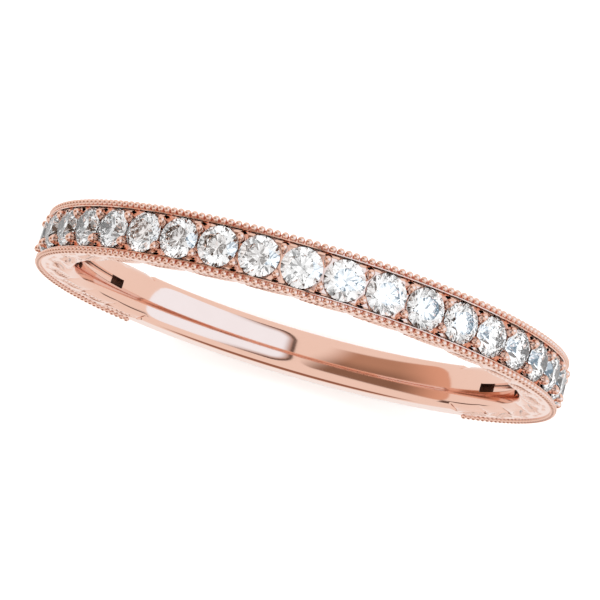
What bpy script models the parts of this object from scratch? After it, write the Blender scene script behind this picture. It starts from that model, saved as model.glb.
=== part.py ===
"""Half-eternity wedding band: one cast gold band and twenty-one round brilliant diamonds.

Metres, +Z up. The origin is the centre of the finger hole, the finger hole runs along Y, and the
middle stone of the row stands at the top, on +Z. Angles round the band are measured from +Z
towards +X.
"""
import math

import bmesh
import bpy
from mathutils import Matrix, Vector

MM = 0.001

# Driving dimensions, in millimetres and degrees.
FINGER_RADIUS = 8.65          # at the middle of the domed inside, a US size 7
HALF_WIDTH = 0.925            # from the middle of the band to a side face
INNER_EDGE_RADIUS = 8.97      # where a side face starts
OUTER_EDGE_RADIUS = 9.98      # where a side face ends
CROWN_RADIUS = 10.40          # highest line of the domed outside
CROWN_POWER = 2.6             # how flat the dome's middle is
DOME_RADIUS = 2.60            # curvature of the inside across the width
DOME_HALF_WIDTH = 0.70        # the inside dome runs this far, then rounds into the side face
CORNER_PULL = (8.78, 0.895)   # the rounding bends towards this distance from axis and from middle
BAND_STEPS = 96
CROWN_SIDES = (0.50, 0.25, 0.0)   # distances from the middle at which the outside has points

STONE_COUNT = 21
STONE_PITCH = 8.64            # degrees between neighbouring stones
STONE_DIAMETER = 1.46
TABLE_RATIO = 0.57
CROWN_ANGLE = 34.5
PAVILION_ANGLE = 40.75
GIRDLE_RATIO = 0.03           # girdle thickness over diameter
STAR_LENGTH = 0.50
LOWER_HALF_LENGTH = 0.75
TABLE_HEIGHT_RADIUS = 10.31   # distance of the tables from the ring's axis

CHANNEL_FLOOR_RADIUS = 10.00
CHANNEL_HALF_WIDTH = 0.74
CHANNEL_END_MARGIN = 1.4      # degrees of channel beyond the last prong beads' middle
END_RUN = 0.4                 # degrees over which the channel or a rail ends
SEAT_GAP = 0.03               # between a stone and the metal
SEAT_RISE = 0.01              # the seat's cutter starts this far above the channel floor
SEAT_SIDES = 14
CULET_HOLE_RADIUS = 0.15
CULET_HOLE_REACH = 0.15       # how far the hole's cutter runs into the slot

RAIL_RADIUS = 0.11            # of the milgrain ridge's round section
RAIL_PLACE = (10.12, 0.81)    # distance from the axis, distance from the middle
RAIL_ARC = (60.0, -35.0)      # the rail's round back, from the side face to the inner foot
RAIL_FOOT_DROP = 0.02         # the rail's inner foot lies this far below its centre
RAIL_FOOT_WIDTH = 0.06        # flat beside a rail where there is no channel
RAIL_END_ANGLE = 135.0

SLOT_HALF_WIDTH = 0.17
SLOT_DEPTH_RADIUS = 8.95
SLOT_END_ANGLE = 121.0
SLOT_CUTTER_REACH = 0.5       # how far the slot's cutter runs into the finger hole
SLOT_STEPS = 61

BEAD_PLACE = 0.48             # distance of a prong bead from the middle of the band
BEAD_FOOT_RADIUS = 9.94       # the beads' centres lie just under the channel's floor
BEAD_HALF_SIZE = (0.14, 0.19, 0.48)   # along the row, across the band, outwards
BEAD_SEGMENTS = (8, 5)

GOLD_ROUGHNESS = 0.12
DIAMOND_ROUGHNESS = 0.02
SHADING_ANGLE = 35.0          # edges sharper than this are shaded as edges

GOLD_COLOUR = (0.90, 0.56, 0.44, 1.0)
DIAMOND_COLOUR = (0.93, 0.94, 0.96, 1.0)


def clear_scene():
    for thing in list(bpy.data.objects):
        bpy.data.objects.remove(thing, do_unlink=True)


def make_material(name, colour, roughness, metallic):
    material = bpy.data.materials.new(name)
    material.use_nodes = True
    shader = material.node_tree.nodes["Principled BSDF"]
    shader.inputs["Base Color"].default_value = colour
    shader.inputs["Roughness"].default_value = roughness
    shader.inputs["Metallic"].default_value = metallic
    material.diffuse_color = colour
    return material


def arc_points(centre, radius, start, end, steps):
    """Points on an arc in the (distance from axis, distance from middle) plane, ends included."""
    points = []
    for step in range(steps + 1):
        angle = start + (end - start) * step / steps
        points.append((centre[0] + radius * math.cos(angle), centre[1] + radius * math.sin(angle)))
    return points


def inside_half():
    """The domed inside and its rounded corner, from the middle line to the start of a side face."""
    dome_centre = (FINGER_RADIUS + DOME_RADIUS, 0.0)
    dome_end = math.pi - math.asin(DOME_HALF_WIDTH / DOME_RADIUS)
    inside = arc_points(dome_centre, DOME_RADIUS, math.pi, dome_end, 2)
    corner_end = (INNER_EDGE_RADIUS, HALF_WIDTH)
    corner = [curve_point(inside[-1], CORNER_PULL, corner_end, part / 2) for part in (1, 2)]
    return inside + corner


def curve_point(start, pull, end, part):
    """Point on the quadratic curve from start to end, pulled towards the middle point."""
    rest = 1.0 - part
    return tuple(rest * rest * s + 2.0 * rest * part * p + part * part * e
                 for s, p, e in zip(start, pull, end))


def crown_radius_at(side):
    """Distance of the domed outside from the axis, at a distance from the middle of the band."""
    return CROWN_RADIUS - (CROWN_RADIUS - OUTER_EDGE_RADIUS) * (side / HALF_WIDTH) ** CROWN_POWER


def rail_half():
    """A milgrain rail's round back, from the side face towards the middle."""
    start, end = (math.radians(angle) for angle in RAIL_ARC)
    turns = arc_points(RAIL_PLACE, RAIL_RADIUS, start, end, 3)
    return [(OUTER_EDGE_RADIUS, HALF_WIDTH)] + turns


def outside_half(zone):
    """Outside of the section from a side face to the middle, with the same points in each zone."""
    rail = rail_half()
    foot_sides = (CHANNEL_HALF_WIDTH, CHANNEL_HALF_WIDTH - RAIL_FOOT_WIDTH)
    if zone == "plain":
        spacing = (HALF_WIDTH - CHANNEL_HALF_WIDTH) / (len(rail) + 1)
        sides = [HALF_WIDTH - spacing * step for step in range(len(rail))]
        return [(crown_radius_at(side), side) for side in (*sides, *foot_sides, *CROWN_SIDES)]
    if zone == "rails":
        middle = [(RAIL_PLACE[0], side) for side in foot_sides]
        return rail + middle + [(crown_radius_at(side), side) for side in CROWN_SIDES]
    rail_foot = (RAIL_PLACE[0] - RAIL_FOOT_DROP, CHANNEL_HALF_WIDTH)
    floor_sides = (CHANNEL_HALF_WIDTH, *CROWN_SIDES)
    return rail + [rail_foot] + [(CHANNEL_FLOOR_RADIUS, side) for side in floor_sides]


def section(zone):
    """The whole closed section in one zone: inside, side face, outside and back again."""
    half = inside_half() + outside_half(zone)
    mirrored = [(radius, -side) for radius, side in reversed(half[1:-1])]
    return half + mirrored


def section_stations():
    """Angles round the band with the zone that each lies in."""
    row_end = STONE_COUNT / 2 * STONE_PITCH + CHANNEL_END_MARGIN
    rail_end = RAIL_END_ANGLE
    step = 360.0 / BAND_STEPS
    marks = [(0.0, "stones"), (row_end, "stones"), (row_end + END_RUN, "rails"),
             (rail_end, "rails"), (rail_end + END_RUN, "plain"), (180.0, "plain")]
    right = []
    for (start, zone), (end, next_zone) in zip(marks, marks[1:]):
        right.append((start, zone))
        if zone == next_zone:
            parts = round((end - start) / step)
            right += [(start + (end - start) * part / parts, zone) for part in range(1, parts)]
    left = [(-angle, zone) for angle, zone in reversed(right[1:])]
    return left + right + [(180.0, "plain")]


def band_blank():
    """The band before its slot, seats and beads, skinned from section to section."""
    form = bmesh.new()
    loops = []
    for angle, zone in section_stations():
        turn = math.radians(angle)
        loops.append([form.verts.new(Vector((radius * math.sin(turn), side, radius * math.cos(turn))) * MM)
                      for radius, side in section(zone)])
    for loop, following in zip(loops, loops[1:] + loops[:1]):
        for index in range(len(loop)):
            before = index - 1
            form.faces.new((loop[before], loop[index], following[index], following[before]))
    bmesh.ops.triangulate(form, faces=form.faces)
    return object_from_bmesh("band", form)


def box_profile(inner_radius, outer_radius, half_width):
    return [(inner_radius, half_width), (outer_radius, half_width),
            (outer_radius, -half_width), (inner_radius, -half_width)]


def object_from_bmesh(name, form):
    bmesh.ops.recalc_face_normals(form, faces=form.faces)
    mesh = bpy.data.meshes.new(name)
    form.to_mesh(mesh)
    form.free()
    thing = bpy.data.objects.new(name, mesh)
    bpy.context.scene.collection.objects.link(thing)
    return thing


def swept_object(name, profile, start_angle, end_angle, steps):
    """Spin a closed section about the Y axis through part of a turn."""
    form = bmesh.new()
    start = math.radians(start_angle)
    corners = [form.verts.new(Vector((radius * math.sin(start), side, radius * math.cos(start))) * MM)
               for radius, side in profile]
    face = form.faces.new(corners)
    bmesh.ops.spin(form, geom=[face, *face.edges, *face.verts], cent=(0, 0, 0), axis=(0, 1, 0),
                   dvec=(0, 0, 0), angle=math.radians(end_angle - start_angle), steps=steps,
                   use_merge=False, use_normal_flip=False, use_duplicate=False)
    return object_from_bmesh(name, form)


def placed_on_band(angle, side, radius):
    """Matrix of a place on the band: its own Z points outwards and its own Y along the finger."""
    turn = Matrix.Rotation(math.radians(angle), 4, "Y")
    return turn @ Matrix.Translation(Vector((0.0, side, radius)) * MM)


def hide_helper(thing):
    thing.hide_render = True
    thing.hide_viewport = True
    thing.display_type = "WIRE"


def add_boolean(target, name, operand, operation):
    modifier = target.modifiers.new(name, "BOOLEAN")
    modifier.operation = operation
    modifier.solver = "EXACT"
    modifier.object = operand
    hide_helper(operand)


def stone_angles():
    middle = (STONE_COUNT - 1) / 2
    return [(index - middle) * STONE_PITCH for index in range(STONE_COUNT)]


def gap_angles():
    """The places between neighbouring stones, with one more at each end of the row."""
    return [(index - STONE_COUNT / 2) * STONE_PITCH for index in range(STONE_COUNT + 1)]


def stone_heights():
    """Heights of table, girdle top, girdle bottom and culet above the girdle's middle, in mm."""
    radius = STONE_DIAMETER / 2
    half_girdle = GIRDLE_RATIO * STONE_DIAMETER / 2
    crown = radius * (1 - TABLE_RATIO) * math.tan(math.radians(CROWN_ANGLE))
    pavilion = radius * math.tan(math.radians(PAVILION_ANGLE))
    return half_girdle + crown, half_girdle, -half_girdle, -half_girdle - pavilion


def girdle_radius_from_axis():
    return TABLE_HEIGHT_RADIUS - stone_heights()[0]


def brilliant_mesh():
    """A round brilliant with table, stars, kites, halves, faceted girdle and pointed culet."""
    radius = STONE_DIAMETER / 2
    table, girdle_top, girdle_bottom, culet = stone_heights()
    crown_slope = math.tan(math.radians(CROWN_ANGLE))
    pavilion_slope = math.tan(math.radians(PAVILION_ANGLE))
    half_turn = math.tau / 16
    table_side = TABLE_RATIO * radius * math.cos(half_turn)
    star_tip = table_side + STAR_LENGTH * (radius - table_side)
    star_height = girdle_top + (radius - star_tip * math.cos(half_turn)) * crown_slope
    half_tip = radius * (1 - LOWER_HALF_LENGTH)
    half_depth = girdle_bottom - (radius - half_tip * math.cos(half_turn)) * pavilion_slope

    form = bmesh.new()

    def ring(count, ring_radius, height, shift):
        verts = []
        for index in range(count):
            angle = math.tau * index / count + shift
            place = Vector((ring_radius * math.cos(angle), ring_radius * math.sin(angle), height))
            verts.append(form.verts.new(place * MM))
        return verts

    table_ring = ring(8, TABLE_RATIO * radius, table, 0.0)
    star_ring = ring(8, star_tip, star_height, half_turn)
    top_ring = ring(16, radius, girdle_top, 0.0)
    bottom_ring = ring(16, radius, girdle_bottom, 0.0)
    half_ring = ring(8, half_tip, half_depth, half_turn)
    point = form.verts.new(Vector((0.0, 0.0, culet)) * MM)
    form.faces.new(table_ring)
    for index in range(8):
        after = (index + 1) % 8
        main = 2 * index
        between = main + 1
        following = (main + 2) % 16
        form.faces.new((table_ring[index], star_ring[index], table_ring[after]))
        form.faces.new((table_ring[index], star_ring[index - 1], top_ring[main], star_ring[index]))
        form.faces.new((star_ring[index], top_ring[main], top_ring[between]))
        form.faces.new((star_ring[index], top_ring[between], top_ring[following]))
        form.faces.new((half_ring[index], bottom_ring[main], bottom_ring[between]))
        form.faces.new((half_ring[index], bottom_ring[between], bottom_ring[following]))
        form.faces.new((point, half_ring[index - 1], bottom_ring[main], half_ring[index]))
    for index in range(16):
        after = (index + 1) % 16
        form.faces.new((top_ring[index], top_ring[after], bottom_ring[after], bottom_ring[index]))
    bmesh.ops.recalc_face_normals(form, faces=form.faces)
    mesh = bpy.data.meshes.new("round_brilliant")
    form.to_mesh(mesh)
    form.free()
    return mesh


def add_seat(form, angle):
    """A cone round one stone's pavilion and a hole below it that opens into the inner slot."""
    slope = math.tan(math.radians(PAVILION_ANGLE))
    culet_radius = girdle_radius_from_axis() + stone_heights()[3]
    tip = culet_radius - SEAT_GAP / math.cos(math.radians(PAVILION_ANGLE))
    top = CHANNEL_FLOOR_RADIUS + SEAT_RISE
    top_width = (top - tip) / slope
    neck = tip + CULET_HOLE_RADIUS * slope
    bottom = SLOT_DEPTH_RADIUS - CULET_HOLE_REACH
    outline = [(CULET_HOLE_RADIUS, bottom), (CULET_HOLE_RADIUS, neck), (top_width, top)]
    rings = []
    for width, height in outline:
        place = placed_on_band(angle, 0.0, height)
        made = bmesh.ops.create_circle(form, cap_ends=False, segments=SEAT_SIDES,
                                       radius=width * MM, matrix=place)
        rings.append(made["verts"])
    for lower, upper in zip(rings, rings[1:]):
        for index in range(SEAT_SIDES):
            after = (index + 1) % SEAT_SIDES
            form.faces.new((lower[index], lower[after], upper[after], upper[index]))
    form.faces.new(rings[0])
    form.faces.new(rings[-1])


def build_band(material):
    """The cast band: blank with rails and channel, slot and seats cut, prong beads added."""
    band = band_blank()

    slot = swept_object("slot_cutter",
                        box_profile(FINGER_RADIUS - SLOT_CUTTER_REACH, SLOT_DEPTH_RADIUS, SLOT_HALF_WIDTH),
                        -SLOT_END_ANGLE, SLOT_END_ANGLE, SLOT_STEPS)
    add_boolean(band, "cut slot", slot, "DIFFERENCE")

    seat_form = bmesh.new()
    for angle in stone_angles():
        add_seat(seat_form, angle)
    seats = object_from_bmesh("seat_cutters", seat_form)
    add_boolean(band, "cut seats", seats, "DIFFERENCE")

    bead_form = bmesh.new()
    stretch = Matrix.Diagonal((*BEAD_HALF_SIZE, 1.0))
    for angle in gap_angles():
        for side in (1, -1):
            place = placed_on_band(angle, side * BEAD_PLACE, BEAD_FOOT_RADIUS)
            bmesh.ops.create_uvsphere(bead_form, u_segments=BEAD_SEGMENTS[0],
                                      v_segments=BEAD_SEGMENTS[1], radius=MM, matrix=place @ stretch)
    beads = object_from_bmesh("prong_beads", bead_form)
    add_boolean(band, "add beads", beads, "UNION")

    band.data.materials.append(material)
    band.data.shade_smooth()
    band.data.set_sharp_from_angle(angle=math.radians(SHADING_ANGLE))
    return band


def build_diamonds(material):
    mesh = brilliant_mesh()
    mesh.materials.append(material)
    stones = []
    for number, angle in enumerate(stone_angles(), start=1):
        stone = bpy.data.objects.new(f"diamond_{number:02d}", mesh)
        bpy.context.scene.collection.objects.link(stone)
        turn = math.radians(angle)
        reach = girdle_radius_from_axis() * MM
        stone.location = (reach * math.sin(turn), 0.0, reach * math.cos(turn))
        stone.rotation_euler = (0.0, turn, 0.0)
        stones.append(stone)
    return stones


def build():
    clear_scene()
    gold = make_material("rose_gold", GOLD_COLOUR, GOLD_ROUGHNESS, 1.0)
    diamond = make_material("diamond", DIAMOND_COLOUR, DIAMOND_ROUGHNESS, 0.0)
    centre = bpy.data.objects.new("ring_centre", None)
    bpy.context.scene.collection.objects.link(centre)
    for piece in [build_band(gold), *build_diamonds(diamond)]:
        piece.parent = centre


build()
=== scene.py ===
"""Looks of the half-eternity wedding band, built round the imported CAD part.

The band is made again as one finer closed mesh: domed polished inside with its slot, a channel
with seats for the stones, and both side faces engraved with generic leaf strokes. Milgrain grains
and prong beads are meshes of their own. The diamonds are the CAD's own stones with a new material.
Lengths below are in millimetres and angles in degrees unless a name says otherwise.
"""
import math

import bmesh
import bpy
import numpy as np
from mathutils import Matrix, Vector


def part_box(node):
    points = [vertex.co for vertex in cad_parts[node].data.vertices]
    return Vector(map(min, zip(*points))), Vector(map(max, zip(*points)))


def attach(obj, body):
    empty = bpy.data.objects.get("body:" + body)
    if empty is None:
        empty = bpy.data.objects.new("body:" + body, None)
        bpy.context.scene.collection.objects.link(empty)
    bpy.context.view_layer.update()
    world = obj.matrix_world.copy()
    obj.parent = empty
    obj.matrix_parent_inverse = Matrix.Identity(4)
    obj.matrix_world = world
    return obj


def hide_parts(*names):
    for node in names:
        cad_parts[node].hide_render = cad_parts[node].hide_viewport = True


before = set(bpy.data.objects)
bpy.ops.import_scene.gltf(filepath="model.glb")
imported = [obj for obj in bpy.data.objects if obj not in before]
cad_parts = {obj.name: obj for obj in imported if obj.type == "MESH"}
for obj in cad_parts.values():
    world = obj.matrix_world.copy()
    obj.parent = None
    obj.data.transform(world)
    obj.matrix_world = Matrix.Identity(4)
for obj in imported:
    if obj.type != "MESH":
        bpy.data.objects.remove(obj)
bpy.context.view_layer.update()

MM = 0.001
BAND_LOW, BAND_HIGH = (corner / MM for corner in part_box("band"))
HALF_WIDTH = BAND_HIGH.y
STONE_NODES = sorted(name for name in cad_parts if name.startswith("diamond_"))

# Section of the band, as distances from the ring's axis.
INSIDE_RADIUS = 8.65
INNER_EDGE_RADIUS = 8.97
OUTER_EDGE_RADIUS = 9.98
CROWN_RADIUS = 10.40
CROWN_POWER = 2.6
DOME_RADIUS = 2.60
DOME_HALF_WIDTH = 0.70
EDGE_ROUNDING = 0.04
CORNER_STEPS = 9

# The slot inside the band.
SLOT_HALF_WIDTH = 0.17
SLOT_DEPTH_RADIUS = 8.95
SLOT_FOOT_LINE = 0.08
SLOT_END_ANGLE = 121.0
SLOT_BEVEL = 0.015
SLOT_END_RUN = 0.05

# The stone row.
FLOOR_RADIUS = 10.00
LEDGE_RADIUS = 10.17
LEDGE_SIDES = (0.80, 0.745)
GROOVE_RADIUS = 10.05
COVE_SIDE = 0.50
TAIL_POINTS = 14
ROW_END_MARGIN = 1.4
END_RUN = 0.4
SEAT_GAP = 0.02
SEAT_SIDES = 32
SEAT_MOUTH = (0.75, 10.14)
CULET_HOLE_RADIUS = 0.15
CULET_HOLE_REACH = 0.1
PAVILION_SLOPE = math.tan(math.radians(40.75))
PIT_HALF_SIZE = (0.13, 0.045)
PIT_SIDE = 0.67
PIT_FOOT_RADIUS = 9.80
PIT_TOP_RADIUS = 10.10
PIT_SIDES = 12

# Milgrain and prong beads.
RAIL_END_ANGLE = 135.0
GRAIN_PITCH = 1.585
GRAIN_RADIUS = 0.128
GRAIN_PLACE = (10.12, 0.90)
BEAD_SIDE = 0.49
BEAD_HEAD = 0.135
BEAD_TAIL = 0.25
BEAD_TOP_RADIUS = 10.40
BEAD_FOOT_RADIUS = 9.94
BEAD_TAIL_NARROWING = 0.72
BEAD_TAIL_DROP = 0.12
BEAD_FOOT_RIM = 0.35

# Engraving on the side faces.
MOTIF_PITCH = 12.1
MOTIF_START = -0.6
MOTIF_SIDE_COUNT = 11
LEAF_TOP_RADIUS = 9.72
STROKE_DEPTH = 0.08
STROKE_HALF_WIDTH = 0.06
PETAL_EDGE = (8.98, 0.38)
ENGRAVED_END = 137.0

# Studio, by direction: radians from straight up towards +X, and share along the finger.
DOME_COLOUR = (1.0, 1.0, 1.0, 1.0)
BOX_LOW, BOX_HIGH = (0.04, -0.32), (1.54, 0.62)
BOX_ROUNDING = 0.20
BOX_COLOUR = (1.06, 1.45, 1.80, 1.0)
RIM_COLOUR = (0.50, 0.33, 0.25, 1.0)
RIM_LINE_COLOUR = (0.10, 0.08, 0.07, 1.0)
CARD_LOW, CARD_HIGH = (-1.62, -0.27), (-0.05, 0.55)
CARD_ROUNDING = 0.15
CARD_DARK = (0.28, 0.19, 0.14, 1.0)
CARD_MIDDLE = (0.52, 0.35, 0.26, 1.0)
CARD_LIGHT = (0.80, 0.53, 0.41, 1.0)
SHADE_COLOUR = (0.14, 0.10, 0.08, 1.0)
FRONT_SHADE_COLOUR = (0.35, 0.20, 0.14, 1.0)
CARD_SHADE_SIDES = (-0.02, 0.35)
CARD_LIGHT_ARC = (-0.95, -1.55)
CARD_SLANT = 0.45
CARD_START = (-0.05, -0.42)
CARD_SOFTNESS = (0.01, -0.03)
BOX_SOFTNESS = (0.008, -0.008)
RIM_FADE = (0.87, 0.12)
RIM_INSIDE, RIM_OUTSIDE = (-0.10, 0.0), (0.03, 0.02)
RIM_LINE_INSIDE, RIM_LINE_OUTSIDE = (-0.02, -0.005), (0.03, 0.015)
STRIP_TOP, STRIP_BOTTOM = (0.06, 0.0), (-0.65, -0.55)
STRIP_FRONT, STRIP_BACK = (-0.40, -0.34), (-0.20, -0.26)
FRONT_SHADE = (-0.80, -0.90)
LAMP_COLOUR = (1.0, 0.97, 0.94)
LAMP_POWER = 2.5
LAMP_SIZE = 0.8
LAMP_HEIGHT = 0.45

# Camera. The nudge is a small turn of the camera in place, in degrees about its own axes.
CAMERA_LENS = 141.6
CAMERA_TIP = -9.21
CAMERA_TURN = 2.56
CAMERA_ROLL = -16.48
CAMERA_DISTANCE = 89.7
CAMERA_NUDGE = (0.418, 0.027)

# Finishes. The first two are the band's material slots; the second, DARK, is painted shade.
POLISHED, DARK = 0, 1
GOLD_TINTS = (0.83, 0.53, 0.42, 1.0), (0.86, 0.56, 0.45, 1.0)
GOLD_ROUGHNESS = (0.05, 0.09)
GROOVE_MARK = "groove"
# Painted shade in the engraved grooves, darker where they are deeper.
GROOVE_PAINTED_SHADE_COLOUR = (0.22, 0.12, 0.09, 1.0)
GROOVE_PAINTED_SHADE_DEPTHS = (0.35, 0.75)
# Painted shade in the seats, pits and slot ends: near-black gold.
RECESS_PAINTED_SHADE_TINTS = (0.03, 0.02, 0.018, 1.0), (0.12, 0.07, 0.05, 1.0)
RECESS_ROUGHNESS = 0.45
DIAMOND_IOR = 2.417

# Mesh fineness.
COARSE_STEP = 1.0
FINE_PARTS = 4
LEAF_ROWS = 22
MARGIN_ROWS = 3
SHARP_ANGLE = math.radians(42)


def radial_point(radius, angle, side):
    """A place on the band: distance from the axis, angle from the top, distance from the middle."""
    turn = math.radians(angle)
    return (radius * math.sin(turn), side, radius * math.cos(turn))


def placed_on_band(angle, side, radius):
    """Matrix of a place on the band: its own Z points outwards and its own Y along the finger."""
    turn = Matrix.Rotation(math.radians(angle), 4, "Y")
    return turn @ Matrix.Translation(Vector((0.0, side, radius)))


def stone_angle(name):
    """A stone's angle from the top of the band, read from the CAD node."""
    points = [vertex.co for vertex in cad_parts[name].data.vertices]
    middle = sum(points, Vector()) / len(points)
    return math.degrees(math.atan2(middle.x, middle.z))


STONE_ANGLES = sorted(stone_angle(name) for name in STONE_NODES)
STONE_PITCH = (STONE_ANGLES[-1] - STONE_ANGLES[0]) / (len(STONE_ANGLES) - 1)
GAP_ANGLES = [STONE_ANGLES[0] - STONE_PITCH / 2 + STONE_PITCH * n for n in range(len(STONE_ANGLES) + 1)]
ROW_END = GAP_ANGLES[-1] + ROW_END_MARGIN


def dome_radius_at(side):
    """Distance of the domed inside from the axis."""
    return INSIDE_RADIUS + DOME_RADIUS - math.sqrt(DOME_RADIUS ** 2 - side ** 2)


def crown_radius_at(side):
    """Distance of the domed outside of the shank from the axis."""
    return CROWN_RADIUS - (CROWN_RADIUS - OUTER_EDGE_RADIUS) * (side / HALF_WIDTH) ** CROWN_POWER


def curve(start, pull, end, steps):
    """Points after the start on the quadratic curve from start to end, pulled to the middle point."""
    points = []
    for step in range(1, steps + 1):
        part = step / steps
        rest = 1.0 - part
        points.append(tuple(rest * rest * s + 2.0 * rest * part * p + part * part * e
                            for s, p, e in zip(start, pull, end)))
    return points


def line(start, end, steps):
    """Points after the start on the straight line from start to end."""
    return [tuple(s + (e - s) * step / steps for s, e in zip(start, end)) for step in range(1, steps + 1)]


def inside_half(has_slot):
    """Inside of the section, from the middle to just before the side face."""
    lip = SLOT_HALF_WIDTH + SLOT_BEVEL
    if has_slot:
        wall_top = dome_radius_at(SLOT_HALF_WIDTH) + SLOT_BEVEL
        points = [(SLOT_DEPTH_RADIUS, 0.0), (SLOT_DEPTH_RADIUS, SLOT_HALF_WIDTH / 2),
                  (SLOT_DEPTH_RADIUS, SLOT_HALF_WIDTH),
                  (SLOT_DEPTH_RADIUS - SLOT_FOOT_LINE, SLOT_HALF_WIDTH),
                  (wall_top, SLOT_HALF_WIDTH), (dome_radius_at(lip), lip)]
    else:
        points = [(dome_radius_at(lip * n / 5), lip * n / 5) for n in range(6)]
    dome_steps = 12
    for step in range(1, dome_steps):
        side = lip + (DOME_HALF_WIDTH - lip) * step / dome_steps
        points.append((dome_radius_at(side), side))
    return points


def side_half():
    """The rounded inner corner and the side face, which are meshed finely for the engraving."""
    start = (dome_radius_at(DOME_HALF_WIDTH), DOME_HALF_WIDTH)
    slope = DOME_HALF_WIDTH / math.sqrt(DOME_RADIUS ** 2 - DOME_HALF_WIDTH ** 2)
    pull = (start[0] + slope * (HALF_WIDTH - DOME_HALF_WIDTH), HALF_WIDTH)
    face_start = (INNER_EDGE_RADIUS, HALF_WIDTH)
    leaf_end = (LEAF_TOP_RADIUS + 0.06, HALF_WIDTH)
    points = [start] + curve(start, pull, face_start, CORNER_STEPS)
    points += line(face_start, leaf_end, LEAF_ROWS)
    return points + line(leaf_end, (OUTER_EDGE_RADIUS - EDGE_ROUNDING, HALF_WIDTH), MARGIN_ROWS)


def outside_half(zone):
    """Outside of the section, from just after the side face to the middle."""
    edge = (OUTER_EDGE_RADIUS - EDGE_ROUNDING, HALF_WIDTH)
    bevel = 0.015
    outer, inner = LEDGE_SIDES
    shoulder = (GROOVE_RADIUS - 0.03, HALF_WIDTH)
    rail = line(edge, shoulder, 2)
    rail += curve(shoulder, (GROOVE_RADIUS, HALF_WIDTH), (GROOVE_RADIUS, HALF_WIDTH - 0.03), 3)
    rail += line(rail[-1], (GROOVE_RADIUS, outer + 0.01), 2)
    rail += [(LEDGE_RADIUS - bevel, outer), (LEDGE_RADIUS, outer - bevel),
             (LEDGE_RADIUS, inner + bevel), (LEDGE_RADIUS - bevel, inner)]
    if zone == "plain":
        foot_side = HALF_WIDTH - EDGE_ROUNDING
        fillet = curve(edge, (OUTER_EDGE_RADIUS, HALF_WIDTH), (crown_radius_at(foot_side), foot_side), 6)
        left = len(rail) + TAIL_POINTS - len(fillet)
        sides = [foot_side * (1 - n / left) for n in range(1, left + 1)]
        return fillet + [(crown_radius_at(side), side) for side in sides]
    if zone == "stones":
        wall_foot = (FLOOR_RADIUS + 0.10, inner)
        cove_end = (FLOOR_RADIUS, COVE_SIDE)
        cove = [wall_foot] + curve(wall_foot, (FLOOR_RADIUS, inner - 0.01), cove_end, 6)
        return rail + cove + line(cove_end, (FLOOR_RADIUS, 0.0), TAIL_POINTS - len(cove))
    groove = (LEDGE_RADIUS - 0.06, inner - 0.01)
    dip = line(rail[-1], groove, 2)
    left = TAIL_POINTS - len(dip)
    sides = [groove[1] * (1 - n / left) for n in range(1, left + 1)]
    return rail + dip + [(crown_radius_at(side), side) for side in sides]


def stations():
    """Angles once round the band, each with its zone and whether the slot is there."""
    marks = [(0.0, "stones", True), (ROW_END, "stones", True), (ROW_END + END_RUN, "rails", True),
             (SLOT_END_ANGLE, "rails", True), (SLOT_END_ANGLE + SLOT_END_RUN, "rails", False),
             (RAIL_END_ANGLE, "rails", False), (RAIL_END_ANGLE + END_RUN, "plain", False),
             (180.0, "plain", False)]
    right = []
    for (start, zone, has_slot), (end, _, _) in zip(marks, marks[1:]):
        parts = max(1, round((end - start) / COARSE_STEP))
        right += [(start + (end - start) * part / parts, zone, has_slot) for part in range(parts)]
    left = [(-angle, zone, has_slot) for angle, zone, has_slot in reversed(right[1:])]
    return left + right + [marks[-1]]


def leaf_strokes():
    """Centre lines of one leaf's strokes: places along the band and distances from the axis."""
    strokes = []
    stem = [(-0.92, 9.12)] + curve((-0.92, 9.12), (-0.1, 9.18), (0.80, 9.60), 8)
    strokes.append((stem, 1.0))
    for step in range(1, 7):
        foot = stem[step]
        reach = 0.42 - 0.035 * step
        top = (foot[0] + reach, min(LEAF_TOP_RADIUS, foot[1] + 0.50 - 0.05 * step))
        strokes.append(([foot] + curve(foot, (foot[0] + 0.04, foot[1] + 0.3), top, 5), 0.9))
    for step in range(2, 8):
        foot = stem[step]
        low = (foot[0] + 0.40, foot[1] - 0.20 + 0.01 * step)
        strokes.append(([foot] + curve(foot, (foot[0] + 0.18, foot[1] - 0.14), low, 5), 0.75))
    for place in (-0.72, -0.45, 0.55, 0.85):
        strokes.append(([(place - 0.10, LEAF_TOP_RADIUS + 0.04), (place + 0.10, LEAF_TOP_RADIUS)], 0.8))
    return strokes


def stroke_depth(along, radius, points, size):
    """Depth of one tapered V groove at many places."""
    best = np.zeros_like(along)
    count = len(points) - 1
    for index in range(count):
        (x0, y0), (x1, y1) = points[index], points[index + 1]
        length = (x1 - x0) ** 2 + (y1 - y0) ** 2
        part = np.clip(((along - x0) * (x1 - x0) + (radius - y0) * (y1 - y0)) / length, 0.0, 1.0)
        gap = np.hypot(along - x0 - part * (x1 - x0), radius - y0 - part * (y1 - y0))
        whole = (index + part) / count
        taper = size * np.clip(1.15 - 1.5 * np.abs(whole - 0.4), 0.25, 1.0)
        fall = np.clip(gap / (STROKE_HALF_WIDTH * taper), 0, 1)
        best = np.maximum(best, STROKE_DEPTH * taper * (1 - fall))
    return best


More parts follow.
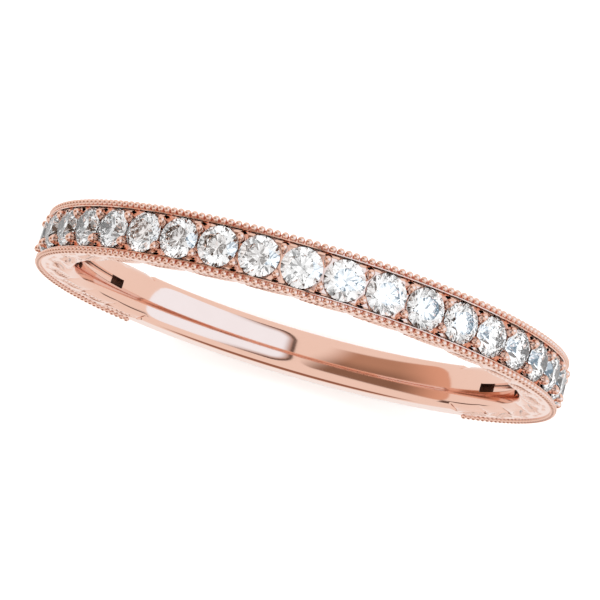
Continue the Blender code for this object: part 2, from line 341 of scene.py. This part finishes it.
def engraving_depth(angle, radius, strokes_only=False):
    """How far the side face is cut back at arrays of angles and distances from the axis."""
    depth = np.zeros_like(angle)
    strokes = leaf_strokes()
    middle_radius = (INNER_EDGE_RADIUS + OUTER_EDGE_RADIUS) / 2
    half_pitch = MOTIF_PITCH / 2
    for number in range(-MOTIF_SIDE_COUNT, MOTIF_SIDE_COUNT):
        centre = MOTIF_START + MOTIF_PITCH * (number + 0.5)
        near = np.abs(angle - centre) <= half_pitch
        across = (angle[near] - centre) / half_pitch
        along = np.radians(angle[near] - centre) * middle_radius
        here = radius[near]
        petal = PETAL_EDGE[0] + PETAL_EDGE[1] * (1 - np.sqrt(np.clip(1 - across ** 2, 0, 1)))
        below = np.clip(petal - here, 0.0, 1.0)
        cut = np.clip(below / 0.03, 0, 1) * 0.03 + np.clip(0.25 * below, 0.0, 0.12)
        veins = np.zeros_like(along)
        for points, size in strokes:
            veins = np.maximum(veins, stroke_depth(along, here, points, size))
        veins *= below == 0
        depth[near] = veins if strokes_only else np.maximum(cut, veins)
    return depth


def band_mesh():
    """The cast band as one closed mesh, uncut. The slot's ends and wall feet get the second finish, painted
    shade.
    """
    places = stations()
    count = len(places)
    angles = np.array([place[0] for place in places])
    following = np.append(angles[1:], angles[0] + 360.0)
    parts = [FINE_PARTS if abs(angle) < ENGRAVED_END else 1 for angle in angles]
    starts = np.concatenate([[0], np.cumsum(parts)])
    fine_angles = np.concatenate([start + (end - start) * np.arange(n) / n
                                  for start, end, n in zip(angles, following, parts)])
    fine_count = len(fine_angles)

    coarse = []
    for angle, zone, has_slot in places:
        inner, outer = inside_half(has_slot), outside_half(zone)
        mirrored = [(radius, -side) for radius, side in reversed((inner + outer)[1:-1])]
        coarse += [radial_point(radius, angle, side) for radius, side in inner + outer + mirrored]
    inner_count, outer_count = len(inner), len(outer)
    per_coarse = 2 * (inner_count + outer_count) - 2

    profile = np.array(side_half())
    side_rows = len(profile)
    wrapped = (fine_angles + 180.0) % 360.0 - 180.0
    angle_grid, radius_grid = np.meshgrid(wrapped, profile[:, 0], indexing="ij")
    reach = (profile[:, 1] - DOME_HALF_WIDTH) / (HALF_WIDTH - DOME_HALF_WIDTH)
    side_grid = profile[:, 1] - engraving_depth(angle_grid, radius_grid) * reach
    turn = np.radians(angle_grid)
    fine = []
    for sign in (1, -1):
        face = np.stack([radius_grid * np.sin(turn), sign * side_grid, radius_grid * np.cos(turn)], axis=-1)
        fine.append(face.reshape(-1, 3))
    vertices = np.concatenate([np.array(coarse), *fine]) * MM
    first_fine = len(coarse)

    def row_points(kind, station):
        """Numbers of one row's points from a station to the next."""
        if kind[0] == "coarse":
            return [(station + n) % count * per_coarse + kind[1] for n in (0, 1)]
        first = first_fine + kind[2] * fine_count * side_rows + kind[1]
        return [first + (starts[station] + n) % fine_count * side_rows for n in range(parts[station] + 1)]

    ring = [("coarse", row) for row in range(inner_count)]
    ring += [("fine", row, 0) for row in range(side_rows)]
    ring += [("coarse", row) for row in range(inner_count, inner_count + 2 * outer_count - 1)]
    ring += [("fine", row, 1) for row in reversed(range(side_rows))]
    ring += [("coarse", row) for row in range(inner_count + 2 * outer_count - 1, per_coarse)]

    faces, finishes = [], []
    wall_rows = {2, per_coarse - 3}
    end_rows = {0, 1, 2, 3} | {per_coarse - n for n in (1, 2, 3, 4)}
    for here, after in zip(ring, ring[1:] + ring[:1]):
        both_fine = here[0] == "fine" and after[0] == "fine"
        for station in range(count):
            near, far = row_points(here, station), row_points(after, station)
            if both_fine:
                for n in range(len(near) - 1):
                    faces.append((near[n], far[n], far[n + 1], near[n + 1]))
                    finishes.append(POLISHED)
                continue
            faces.append((near[0], *far, *reversed(near[1:])))
            # Painted shade on the slot's wall feet and on the faces at its ends.
            has_slot, slot_after = places[station][2], places[(station + 1) % count][2]
            is_wall = here[1] in wall_rows and has_slot and slot_after
            is_end = here[1] in end_rows and has_slot != slot_after
            finishes.append(DARK if here[0] == "coarse" and (is_wall or is_end) else POLISHED)
    mesh = bpy.data.meshes.new("band_finish")
    mesh.from_pydata(vertices.tolist(), [], [tuple(int(n) for n in face) for face in faces])
    mesh.polygons.foreach_set("material_index", finishes)
    return mesh


def recessed_shapes():
    """Seats under the stones, open to the slot, and the small pits beside the prong beads, mostly lined with
    painted shade.
    """
    form = bmesh.new()

    def tube(place, outline, sides, finishes):
        rings = []
        for half_length, half_side, height in outline:
            ring = []
            for index in range(sides):
                turn = math.tau * index / sides
                spot = Vector((half_length * math.cos(turn), half_side * math.sin(turn), height))
                ring.append(form.verts.new((place @ spot) * MM))
            rings.append(ring)
        for lower, upper, finish in zip(rings, rings[1:], finishes):
            for index in range(sides):
                after = (index + 1) % sides
                face = form.faces.new((lower[index], lower[after], upper[after], upper[index]))
                face.material_index = finish
        for cap in (list(reversed(rings[0])), rings[-1]):
            form.faces.new(cap).material_index = DARK

    mouth, mouth_top = SEAT_MOUTH
    # The culet holes and lower seats are lined with painted shade and the seat mouths are polished; the pits
    # are all painted shade.
    for name, angle in zip(STONE_NODES, STONE_ANGLES):
        tip = culet_radius(name) - SEAT_GAP
        neck = tip + CULET_HOLE_RADIUS * PAVILION_SLOPE
        shoulder = tip + mouth * PAVILION_SLOPE
        outline = [(CULET_HOLE_RADIUS, CULET_HOLE_RADIUS, SLOT_DEPTH_RADIUS - CULET_HOLE_REACH),
                   (CULET_HOLE_RADIUS, CULET_HOLE_RADIUS, neck),
                   (mouth, mouth, shoulder), (mouth, mouth, mouth_top)]
        tube(placed_on_band(angle, 0.0, 0.0), outline, SEAT_SIDES, (DARK, DARK, POLISHED))
    for angle in GAP_ANGLES:
        for sign in (1, -1):
            outline = [(*PIT_HALF_SIZE, PIT_FOOT_RADIUS), (*PIT_HALF_SIZE, PIT_TOP_RADIUS)]
            tube(placed_on_band(angle, sign * PIT_SIDE, 0.0), outline, PIT_SIDES, (DARK,))
    return object_from_bmesh("recesses", form)


def culet_radius(name):
    """Distance from the axis to a stone's lowest point."""
    angle = math.radians(stone_angle(name))
    outward = Vector((math.sin(angle), 0.0, math.cos(angle)))
    return min(vertex.co.dot(outward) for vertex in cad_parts[name].data.vertices) / MM


def object_from_bmesh(name, form):
    bmesh.ops.recalc_face_normals(form, faces=form.faces)
    mesh = bpy.data.meshes.new(name)
    form.to_mesh(mesh)
    form.free()
    thing = bpy.data.objects.new(name, mesh)
    bpy.context.scene.collection.objects.link(thing)
    return thing


def mark_grooves(mesh):
    """Stores how deep each point of the side faces is engraved, for the finish to darken with painted shade.
    """
    points = np.empty(len(mesh.vertices) * 3)
    mesh.vertices.foreach_get("co", points)
    x, y, z = points.reshape(-1, 3).T / MM
    depth = engraving_depth(np.degrees(np.arctan2(x, z)), np.hypot(x, z), strokes_only=True)
    on_side = (np.abs(y) > HALF_WIDTH - 2 * STROKE_DEPTH) & (np.hypot(x, z) < OUTER_EDGE_RADIUS)
    mark = mesh.attributes.new(GROOVE_MARK, "FLOAT", "POINT")
    mark.data.foreach_set("value", np.where(on_side, depth / STROKE_DEPTH, 0.0))


def build_band(finishes):
    """The band mesh with its seats and pits cut."""
    mesh = band_mesh()
    form = bmesh.new()
    form.from_mesh(mesh)
    bpy.data.meshes.remove(mesh)
    band = object_from_bmesh("band_finish", form)
    cutter = recessed_shapes()
    for thing in (band, cutter):
        for finish in finishes:
            thing.data.materials.append(finish)
    modifier = band.modifiers.new("cut", "BOOLEAN")
    modifier.operation = "DIFFERENCE"
    modifier.solver = "EXACT"
    modifier.object = cutter
    depsgraph = bpy.context.evaluated_depsgraph_get()
    cut = bpy.data.meshes.new_from_object(band.evaluated_get(depsgraph))
    band.modifiers.clear()
    band.data = cut
    mark_grooves(cut)
    bpy.data.objects.remove(cutter)
    band.data.shade_smooth()
    band.data.set_sharp_from_angle(angle=SHARP_ANGLE)
    return band


def copies(name, form, places, reshape=None):
    """One object holding a copy of a small form at each place, smoothly shaded."""
    form.verts.ensure_lookup_table()
    corners = [tuple(vertex.index for vertex in face.verts) for face in form.faces]
    points = [Vector(vertex.co) for vertex in form.verts]
    form.free()
    vertices, faces = [], []
    for place, sign in places:
        first = len(vertices)
        for point in points:
            spot = reshape(point, sign) if reshape else point
            vertices.append((place @ spot) * MM)
        faces += [tuple(first + index for index in face) for face in corners]
    whole = bmesh.new()
    mesh = bpy.data.meshes.new(name)
    mesh.from_pydata(vertices, [], faces)
    whole.from_mesh(mesh)
    bpy.data.meshes.remove(mesh)
    thing = object_from_bmesh(name, whole)
    thing.data.shade_smooth()
    return thing


def build_milgrain():
    """Two rows of small round grains along the rims beside the stones."""
    form = bmesh.new()
    bmesh.ops.create_icosphere(form, subdivisions=3, radius=GRAIN_RADIUS)
    number = int(RAIL_END_ANGLE / GRAIN_PITCH)
    places = []
    for index in range(-number, number + 1):
        for sign in (1, -1):
            angle = index * GRAIN_PITCH
            places.append((placed_on_band(angle, sign * GRAIN_PLACE[1], GRAIN_PLACE[0]), sign))
    return copies("milgrain_grains", form, places)


def bead_point(spot, sign):
    """Turns a unit sphere's point into a round prong head with a narrow tail and a straight foot."""
    x, y, z = spot
    head_height = BEAD_TOP_RADIUS - BEAD_HEAD
    if z < 0:
        rim = max(BEAD_FOOT_RIM, math.sqrt(max(0.0, 1 - z * z)))
        x, y = x / rim, y / rim
    tail = max(0.0, -y)
    narrow = 1.0 - BEAD_TAIL_NARROWING * tail * tail
    along = BEAD_TAIL * y if y < 0 else BEAD_HEAD * y
    drop = BEAD_TAIL_DROP * tail * tail
    if z < 0:
        height = head_height - drop * (1 + z) + (head_height - BEAD_FOOT_RADIUS) * z
    else:
        height = head_height - drop + BEAD_HEAD * z
    return Vector((BEAD_HEAD * x * narrow, sign * (BEAD_SIDE + along), height))


def build_beads():
    """Prong beads at the gaps between the stones, two across the row at each gap."""
    form = bmesh.new()
    bmesh.ops.create_uvsphere(form, u_segments=24, v_segments=16, radius=1.0)
    places = [(placed_on_band(angle, 0.0, 0.0), sign) for angle in GAP_ANGLES for sign in (1, -1)]
    return copies("prong_beads", form, places, bead_point)


# Finishes.

def rose_gold():
    """Polished rose gold with a trace of unevenness in its colour and polish, and painted shade in the
    engraved grooves.
    """
    material = bpy.data.materials.new("rose_gold_polished")
    material.use_nodes = True
    nodes, links = material.node_tree.nodes, material.node_tree.links
    shader = nodes["Principled BSDF"]
    shader.inputs["Metallic"].default_value = 1.0
    coordinates = nodes.new("ShaderNodeTexCoord")
    noise = nodes.new("ShaderNodeTexNoise")
    noise.inputs["Scale"].default_value = 900.0
    noise.inputs["Detail"].default_value = 3.0
    links.new(coordinates.outputs["Object"], noise.inputs["Vector"])
    tint = nodes.new("ShaderNodeMix")
    tint.data_type = "RGBA"
    tint.inputs["A"].default_value, tint.inputs["B"].default_value = GOLD_TINTS
    links.new(noise.outputs["Fac"], tint.inputs["Factor"])
    # Painted shade: the engraved grooves are darkened towards brown by their depth.
    groove = nodes.new("ShaderNodeAttribute")
    groove.attribute_name = GROOVE_MARK
    depth = nodes.new("ShaderNodeMapRange")
    depth.inputs["From Min"].default_value, depth.inputs["From Max"].default_value = GROOVE_PAINTED_SHADE_DEPTHS
    links.new(groove.outputs["Fac"], depth.inputs["Value"])
    shade = nodes.new("ShaderNodeMix")
    shade.data_type = "RGBA"
    shade.inputs["B"].default_value = GROOVE_PAINTED_SHADE_COLOUR
    links.new(depth.outputs["Result"], shade.inputs["Factor"])
    links.new(tint.outputs["Result"], shade.inputs["A"])
    links.new(shade.outputs["Result"], shader.inputs["Base Color"])
    polish = nodes.new("ShaderNodeMapRange")
    polish.inputs["To Min"].default_value, polish.inputs["To Max"].default_value = GOLD_ROUGHNESS
    links.new(noise.outputs["Fac"], polish.inputs["Value"])
    links.new(polish.outputs["Result"], shader.inputs["Roughness"])
    return material


def painted_shade_recess():
    """Painted shade: unpolished gold coloured near black in the narrow recesses."""
    material = bpy.data.materials.new("gold_painted_shade_recess")
    material.use_nodes = True
    nodes, links = material.node_tree.nodes, material.node_tree.links
    shader = nodes["Principled BSDF"]
    shader.inputs["Metallic"].default_value = 1.0
    shader.inputs["Roughness"].default_value = RECESS_ROUGHNESS
    coordinates = nodes.new("ShaderNodeTexCoord")
    noise = nodes.new("ShaderNodeTexNoise")
    noise.inputs["Scale"].default_value = 4000.0
    links.new(coordinates.outputs["Object"], noise.inputs["Vector"])
    tint = nodes.new("ShaderNodeMix")
    tint.data_type = "RGBA"
    tint.inputs["A"].default_value, tint.inputs["B"].default_value = RECESS_PAINTED_SHADE_TINTS
    links.new(noise.outputs["Fac"], tint.inputs["Factor"])
    links.new(tint.outputs["Result"], shader.inputs["Base Color"])
    return material


def diamond():
    """Clear, colourless diamond."""
    material = bpy.data.materials.new("diamond_clear")
    material.use_nodes = True
    nodes, links = material.node_tree.nodes, material.node_tree.links
    nodes.remove(nodes["Principled BSDF"])
    glass = nodes.new("ShaderNodeBsdfGlass")
    glass.inputs["IOR"].default_value = DIAMOND_IOR
    glass.inputs["Roughness"].default_value = 0.0
    links.new(glass.outputs["BSDF"], nodes["Material Output"].inputs["Surface"])
    return material


# Studio: floor, light and camera.

def build_floor():
    size = 3.0
    level = BAND_LOW.z * MM - 0.00002
    form = bmesh.new()
    corners = [form.verts.new((x * size, y * size, level)) for x, y in ((-1, -1), (1, -1), (1, 1), (-1, 1))]
    form.faces.new(corners)
    mesh = bpy.data.meshes.new("studio_floor")
    form.to_mesh(mesh)
    form.free()
    floor = bpy.data.objects.new("studio_floor", mesh)
    bpy.context.scene.collection.objects.link(floor)
    material = bpy.data.materials.new("pale_floor")
    material.use_nodes = True
    shader = material.node_tree.nodes["Principled BSDF"]
    shader.inputs["Base Color"].default_value = (0.92, 0.92, 0.92, 1.0)
    shader.inputs["Roughness"].default_value = 0.9
    mesh.materials.append(material)
    floor.visible_glossy = False
    floor.visible_transmission = False


class Wiring:
    """Short calls for building a shader from sums."""

    def __init__(self, tree):
        self.tree = tree

    def feed(self, socket, value):
        if isinstance(value, bpy.types.NodeSocket):
            self.tree.links.new(value, socket)
        else:
            socket.default_value = value

    def sum(self, operation, *values, clamp=False):
        node = self.tree.nodes.new("ShaderNodeMath")
        node.operation = operation
        node.use_clamp = clamp
        for socket, value in zip(node.inputs, values):
            self.feed(socket, value)
        return node.outputs[0]

    def ramp(self, value, start, end):
        """Smoothly 0 before start and 1 after end."""
        node = self.tree.nodes.new("ShaderNodeMapRange")
        node.interpolation_type = "SMOOTHSTEP"
        self.feed(node.inputs["Value"], value)
        node.inputs["From Min"].default_value = start
        node.inputs["From Max"].default_value = end
        return node.outputs["Result"]

    def blend(self, part, first, second):
        """Mixes two colours."""
        node = self.tree.nodes.new("ShaderNodeMix")
        node.data_type = "RGBA"
        self.feed(node.inputs["Factor"], part)
        for name, colour in (("A", first), ("B", second)):
            self.feed(node.inputs[name], colour)
        return node.outputs["Result"]

    def rounded_panel(self, along, across, low, high, radius):
        """Distance outside a rounded rectangle between two corners; negative inside."""
        overs = []
        for value, start, end in ((along, low[0], high[0]), (across, low[1], high[1])):
            gap = self.sum("ABSOLUTE", self.sum("SUBTRACT", value, (start + end) / 2))
            overs.append(self.sum("SUBTRACT", gap, (end - start) / 2 - radius))
        outer = [self.sum("MAXIMUM", over, 0.0) for over in overs]
        squares = [self.sum("MULTIPLY", over, over) for over in outer]
        length = self.sum("SQRT", self.sum("ADD", *squares))
        inner = self.sum("MINIMUM", self.sum("MAXIMUM", *overs), 0.0)
        return self.sum("SUBTRACT", self.sum("ADD", length, inner), radius)


def build_world():
    """A white dome with a cool softbox on the right, a brown card on the left and darker strips in front."""
    world = bpy.data.worlds.new("studio")
    bpy.context.scene.world = world
    world.use_nodes = True
    tree = world.node_tree
    wires = Wiring(tree)
    coordinates = tree.nodes.new("ShaderNodeTexCoord")
    split = tree.nodes.new("ShaderNodeSeparateXYZ")
    tree.links.new(coordinates.outputs["Generated"], split.inputs["Vector"])
    x, y, z = split.outputs
    arc = wires.sum("ARCTAN2", x, z)

    card = wires.rounded_panel(arc, y, CARD_LOW, CARD_HIGH, CARD_ROUNDING)
    card_shade = wires.blend(wires.ramp(y, *CARD_SHADE_SIDES), CARD_DARK, CARD_MIDDLE)
    card_shade = wires.blend(wires.ramp(arc, *CARD_LIGHT_ARC), card_shade, CARD_LIGHT)
    slanted = wires.sum("ADD", arc, wires.sum("MULTIPLY", y, CARD_SLANT))
    soft_start = wires.ramp(slanted, *CARD_START)
    card_part = wires.sum("MULTIPLY", wires.ramp(card, *CARD_SOFTNESS), soft_start)
    colour = wires.blend(card_part, DOME_COLOUR, card_shade)

    box = wires.rounded_panel(arc, y, BOX_LOW, BOX_HIGH, BOX_ROUNDING)
    colour = wires.blend(wires.ramp(box, *BOX_SOFTNESS), colour, BOX_COLOUR)
    end = wires.ramp(arc, *RIM_FADE)
    shade = wires.sum("MULTIPLY", wires.ramp(box, *RIM_INSIDE), wires.ramp(box, *RIM_OUTSIDE))
    colour = wires.blend(wires.sum("MULTIPLY", shade, end), colour, RIM_COLOUR)
    edge_line = wires.sum("MULTIPLY", wires.ramp(box, *RIM_LINE_INSIDE), wires.ramp(box, *RIM_LINE_OUTSIDE))
    colour = wires.blend(wires.sum("MULTIPLY", edge_line, end), colour, RIM_LINE_COLOUR)

    low = wires.sum("MULTIPLY", wires.ramp(z, *STRIP_TOP), wires.ramp(z, *STRIP_BOTTOM))
    strip = wires.sum("MULTIPLY", wires.ramp(y, *STRIP_FRONT), wires.ramp(y, *STRIP_BACK))
    colour = wires.blend(wires.sum("MULTIPLY", low, strip), colour, SHADE_COLOUR)
    colour = wires.blend(wires.ramp(y, *FRONT_SHADE), colour, FRONT_SHADE_COLOUR)

    # Inside the stones the same studio is seen without its colour cast, and matt things see only white.
    light_path = tree.nodes.new("ShaderNodeLightPath")
    grey = tree.nodes.new("ShaderNodeRGBToBW")
    tree.links.new(colour, grey.inputs["Color"])
    colour = wires.blend(light_path.outputs["Is Transmission Ray"], colour, grey.outputs["Val"])
    colour = wires.blend(light_path.outputs["Is Diffuse Ray"], colour, DOME_COLOUR)
    tree.links.new(colour, tree.nodes["Background"].inputs["Color"])


def build_key_light():
    """A broad light straight above, which whitens the floor and stays out of the reflections."""
    data = bpy.data.lights.new("floor_light", "AREA")
    data.shape = "DISK"
    data.size = LAMP_SIZE
    data.energy = LAMP_POWER
    data.color = LAMP_COLOUR
    light = bpy.data.objects.new("floor_light", data)
    light.location = (0.0, 0.0, LAMP_HEIGHT)
    light.visible_glossy = False
    light.visible_transmission = False
    light.visible_camera = False
    bpy.context.scene.collection.objects.link(light)


def build_camera():
    """The photo's view: close to straight down on the stones, tipped, turned and rolled a little."""
    data = bpy.data.cameras.new("photo_camera")
    data.lens = CAMERA_LENS
    data.sensor_width = 36.0
    data.clip_start = 0.001
    data.clip_end = 10.0
    camera = bpy.data.objects.new("photo_camera", data)
    bpy.context.scene.collection.objects.link(camera)
    tip, turn, roll = (math.radians(angle) for angle in (CAMERA_TIP, CAMERA_TURN, CAMERA_ROLL))
    back = Vector((math.sin(turn) * math.cos(tip), math.sin(tip), math.cos(turn) * math.cos(tip)))
    right = Vector((math.cos(turn), 0.0, -math.sin(turn)))
    up = right.cross(-back)
    across = math.cos(roll) * right - math.sin(roll) * up
    upward = math.sin(roll) * right + math.cos(roll) * up
    axes = Matrix((across, upward, back)).transposed()
    about_x, about_y = (math.radians(angle) for angle in CAMERA_NUDGE)
    nudge = Matrix.Rotation(about_x, 3, "X") @ Matrix.Rotation(about_y, 3, "Y")
    camera.matrix_world = Matrix.Translation(back * CAMERA_DISTANCE * MM) @ (axes @ nudge).to_4x4()
    bpy.context.scene.camera = camera


def main():
    gold = rose_gold()
    clear = diamond()
    band = build_band([gold, painted_shade_recess()])
    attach(band, "root")
    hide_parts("band")
    trim = [build_milgrain(), build_beads()]
    for piece in trim:
        piece.data.materials.append(gold)
        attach(piece, "root")
    for name in STONE_NODES:
        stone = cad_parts[name]
        stone.data.materials.clear()
        stone.data.materials.append(clear)
    build_floor()
    build_world()
    build_key_light()
    build_camera()
    scene = bpy.context.scene
    scene.view_settings.view_transform = "Standard"
    scene.cycles.max_bounces = 16
    scene.cycles.glossy_bounces = 8
    scene.cycles.transmission_bounces = 16


main()
